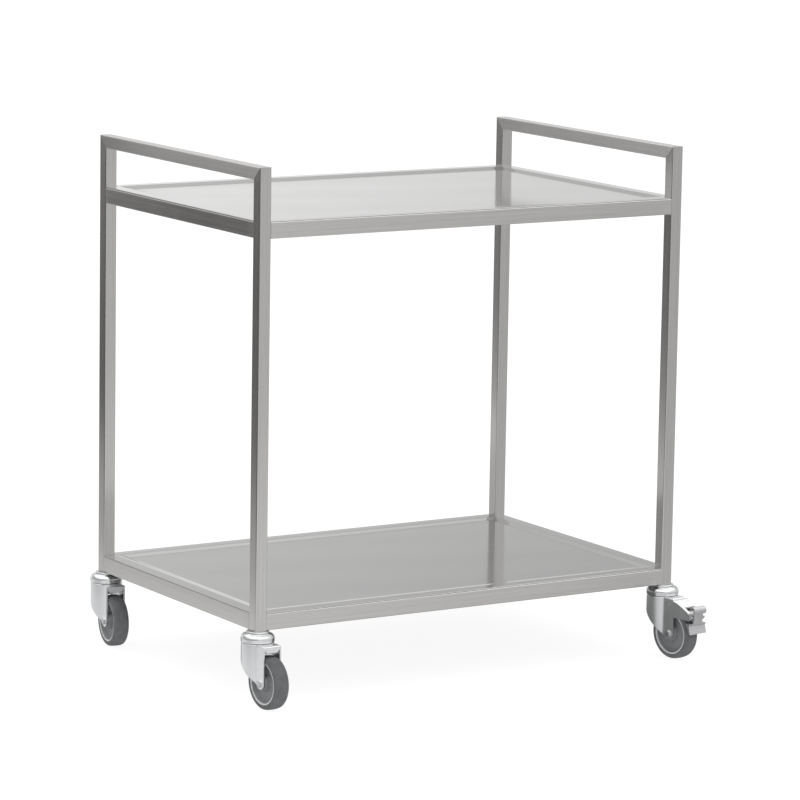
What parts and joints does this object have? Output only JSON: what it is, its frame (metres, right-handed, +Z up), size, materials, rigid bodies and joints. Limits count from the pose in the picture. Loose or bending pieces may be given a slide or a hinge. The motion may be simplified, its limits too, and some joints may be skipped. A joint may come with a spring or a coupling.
{
  "type": "two-tier service trolley",
  "caption": "Two-tier square-tube steel trolley with pressed trays, a push bar at each end and swivel casters, the right-hand pair braked.",
  "frame": {"origin": "on the floor, under the middle of the tube frame", "axes": "+X along the trolley to its right-hand end, which has the braked casters; +Y to its back; +Z up"},
  "size_m": [0.8065, 0.6748, 0.824],
  "materials": {
    "brushed_tube": "stainless tube, long satin grain along its length",
    "tray_sheet": "stainless sheet, glossy satin with soft mirror reflections",
    "chrome": "bright plated",
    "fork_plate": "bright zinc plating over pressed steel",
    "pedal_plate": "dull zinc plating",
    "zinc": "zinc plating",
    "hardened": "ground bearing steel, lightly oiled",
    "tyre": "matt grey non-marking rubber",
    "hub": "grey moulded plastic, fine texture"
  },
  "bodies": {
    "frame": {"post_front_left": "brushed_tube", "post_back_left": "brushed_tube", "post_front_right": "brushed_tube", "post_back_right": "brushed_tube", "handle_bar_left": "brushed_tube", "handle_bar_right": "brushed_tube", "lower_rail_front": "brushed_tube", "lower_rail_back": "brushed_tube", "lower_rail_left": "brushed_tube", "lower_rail_right": "brushed_tube", "upper_rail_front": "brushed_tube", "upper_rail_back": "brushed_tube", "upper_rail_left": "brushed_tube", "upper_rail_right": "brushed_tube", "lower_tray": "tray_sheet", "upper_tray": "tray_sheet", "post_plugs": "zinc", "caster_stems": "chrome", "swivel_washers": "chrome", "swivel_domes": "chrome", "upper_ball_cups": "zinc", "lower_ball_cups": "zinc", "swivel_balls": "hardened"},
    "fork_front_left": {"fork_front_left": "fork_plate", "axle_bolt_front_left": "zinc", "axle_nut_front_left": "zinc", "axle_sleeve_front_left": "zinc"},
    "wheel_front_left": {"tyre_front_left": "tyre", "hub_front_left": "hub", "bearing_front_left": "hardened"},
    "fork_back_left": {"fork_back_left": "fork_plate", "axle_bolt_back_left": "zinc", "axle_nut_back_left": "zinc", "axle_sleeve_back_left": "zinc"},
    "wheel_back_left": {"tyre_back_left": "tyre", "hub_back_left": "hub", "bearing_back_left": "hardened"},
    "fork_front_right": {"fork_front_right": "fork_plate", "axle_bolt_front_right": "zinc", "axle_nut_front_right": "zinc", "axle_sleeve_front_right": "zinc", "brake_pins_front_right": "zinc", "brake_spring_front_right": "hardened"},
    "wheel_front_right": {"tyre_front_right": "tyre", "hub_front_right": "hub", "bearing_front_right": "hardened"},
    "brake_front_right": {"brake_pedal_front_right": "pedal_plate", "brake_shoe_front_right": "tyre"},
    "fork_back_right": {"fork_back_right": "fork_plate", "axle_bolt_back_right": "zinc", "axle_nut_back_right": "zinc", "axle_sleeve_back_right": "zinc", "brake_pins_back_right": "zinc", "brake_spring_back_right": "hardened"},
    "wheel_back_right": {"tyre_back_right": "tyre", "hub_back_right": "hub", "bearing_back_right": "hardened"},
    "brake_back_right": {"brake_pedal_back_right": "pedal_plate", "brake_shoe_back_right": "tyre"}
  },
  "joints": [
    {"name": "swivel_front_left", "type": "hinge", "parent": "frame", "child": "fork_front_left", "pos_m": [-0.375, -0.2475, 0.098], "axis": [0, 0, 1], "continuous": true},
    {"name": "roll_front_left", "type": "hinge", "parent": "fork_front_left", "child": "wheel_front_left", "pos_m": [-0.37333, -0.27946, 0.0415], "axis": [-0.9986, -0.0523, 0], "continuous": true},
    {"name": "swivel_back_left", "type": "hinge", "parent": "frame", "child": "fork_back_left", "pos_m": [-0.375, 0.2475, 0.098], "axis": [0, 0, 1], "continuous": true},
    {"name": "roll_back_left", "type": "hinge", "parent": "fork_back_left", "child": "wheel_back_left", "pos_m": [-0.37862, 0.21571, 0.0415], "axis": [-0.9936, 0.1132, 0], "continuous": true},
    {"name": "swivel_front_right", "type": "hinge", "parent": "frame", "child": "fork_front_right", "pos_m": [0.375, -0.2475, 0.098], "axis": [0, 0, 1], "continuous": true},
    {"name": "roll_front_right", "type": "hinge", "parent": "fork_front_right", "child": "wheel_front_right", "pos_m": [0.37973, -0.27915, 0.0415], "axis": [-0.989, -0.1478, 0], "continuous": true},
    {"name": "brake_front_right", "type": "hinge", "parent": "fork_front_right", "child": "brake_front_right", "pos_m": [0.38675, -0.32613, 0.074], "axis": [-0.989, -0.1478, 0], "range_deg": [0, 10]},
    {"name": "swivel_back_right", "type": "hinge", "parent": "frame", "child": "fork_back_right", "pos_m": [0.375, 0.2475, 0.098], "axis": [0, 0, 1], "continuous": true},
    {"name": "roll_back_right", "type": "hinge", "parent": "fork_back_right", "child": "wheel_back_right", "pos_m": [0.37973, 0.27915, 0.0415], "axis": [0.989, -0.1478, 0], "continuous": true},
    {"name": "brake_back_right", "type": "hinge", "parent": "fork_back_right", "child": "brake_back_right", "pos_m": [0.38675, 0.32613, 0.074], "axis": [0.989, -0.1478, 0], "range_deg": [0, 10]}
  ]
}
